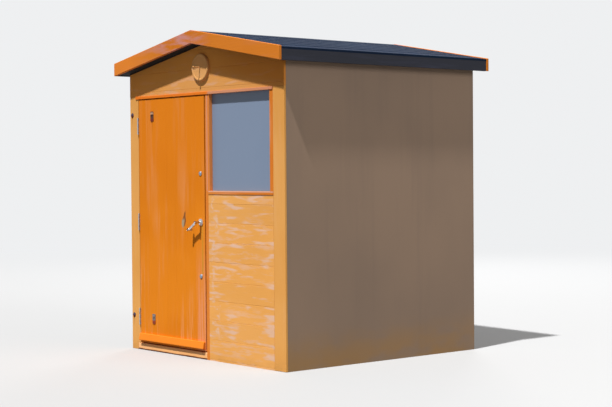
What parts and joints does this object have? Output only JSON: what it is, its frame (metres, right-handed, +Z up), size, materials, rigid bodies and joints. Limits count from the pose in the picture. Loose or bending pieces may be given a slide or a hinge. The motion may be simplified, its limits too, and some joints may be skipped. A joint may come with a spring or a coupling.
{
  "type": "beach hut",
  "caption": "Small timber beach hut with a framed door, a fixed side light, a shallow gable roof with bargeboards, and a turned roundel in the gable.",
  "frame": {"origin": "centre of the walls' footprint at ground level", "axes": "+Z up, the front with the door faces -Y, +X to the right seen from the front"},
  "size_m": [2.006, 2.026, 2.3632],
  "materials": {
    "wall_paint": "chalky light orange paint on boards",
    "trim_paint": "pinkish orange paint",
    "door_paint": "strong orange paint with chalky streaks",
    "barge_paint": "orange paint with pale bloom",
    "side_paint": "flat taupe paint on sheet",
    "bare_timber": "unpainted sawn softwood",
    "roof_felt": "dark slate-blue mineral felt",
    "fascia_paint": "near-black paint",
    "pane_paint": "grey-blue panel",
    "rusty_steel": "rusted steel",
    "hinge_steel": "dull steel with rust",
    "bolt_steel": "galvanised steel",
    "lever_steel": "worn stainless steel"
  },
  "bodies": {
    "root": {"floor_bearers": "bare_timber", "floor_boards": "bare_timber", "threshold": "wall_paint", "front_post_left": "wall_paint", "front_post_right": "wall_paint", "door_jamb": "trim_paint", "mullion_post": "trim_paint", "window_jamb": "trim_paint", "head_rail": "trim_paint", "panel_rails": "bare_timber", "front_panel": "wall_paint", "front_gable": "wall_paint", "window_sill": "trim_paint", "window_pane": "pane_paint", "side_wall_left": "side_paint", "side_wall_right": "side_paint", "side_stud_left": "bare_timber", "side_stud_right": "bare_timber", "wall_plate_left": "bare_timber", "wall_plate_right": "bare_timber", "back_wall": "side_paint", "back_post_left": "bare_timber", "back_post_right": "bare_timber", "ridge_beam": "bare_timber", "roof_left": "roof_felt", "roof_right": "roof_felt", "fascia_left": "fascia_paint", "fascia_right": "fascia_paint", "barge_front_left": "barge_paint", "barge_front_right": "barge_paint", "barge_back_left": "barge_paint", "barge_back_right": "barge_paint", "gable_roundel": "wall_paint", "post_bolts": "rusty_steel", "hinge_frame_leaves": "hinge_steel"},
    "door": {"door_leaf": "door_paint", "door_frame": "door_paint", "door_braces": "door_paint", "drip_board": "door_paint", "door_brackets": "rusty_steel", "bolt_heads": "bolt_steel", "handle_roses": "lever_steel", "hinge_door_leaves": "hinge_steel"},
    "lever": {"lever_handle": "lever_steel", "inner_lever": "lever_steel"}
  },
  "joints": [
    {"name": "door_hinge", "type": "hinge", "parent": "root", "child": "door", "pos_m": [-0.8185, -0.922, 0.975], "axis": [0, 0, -1], "range_deg": [0, 120]},
    {"name": "lever_turn", "type": "hinge", "parent": "door", "child": "lever", "pos_m": [-0.022, -0.915, 0.989], "axis": [0, -1, 0], "range_deg": [-28, 25]}
  ]
}
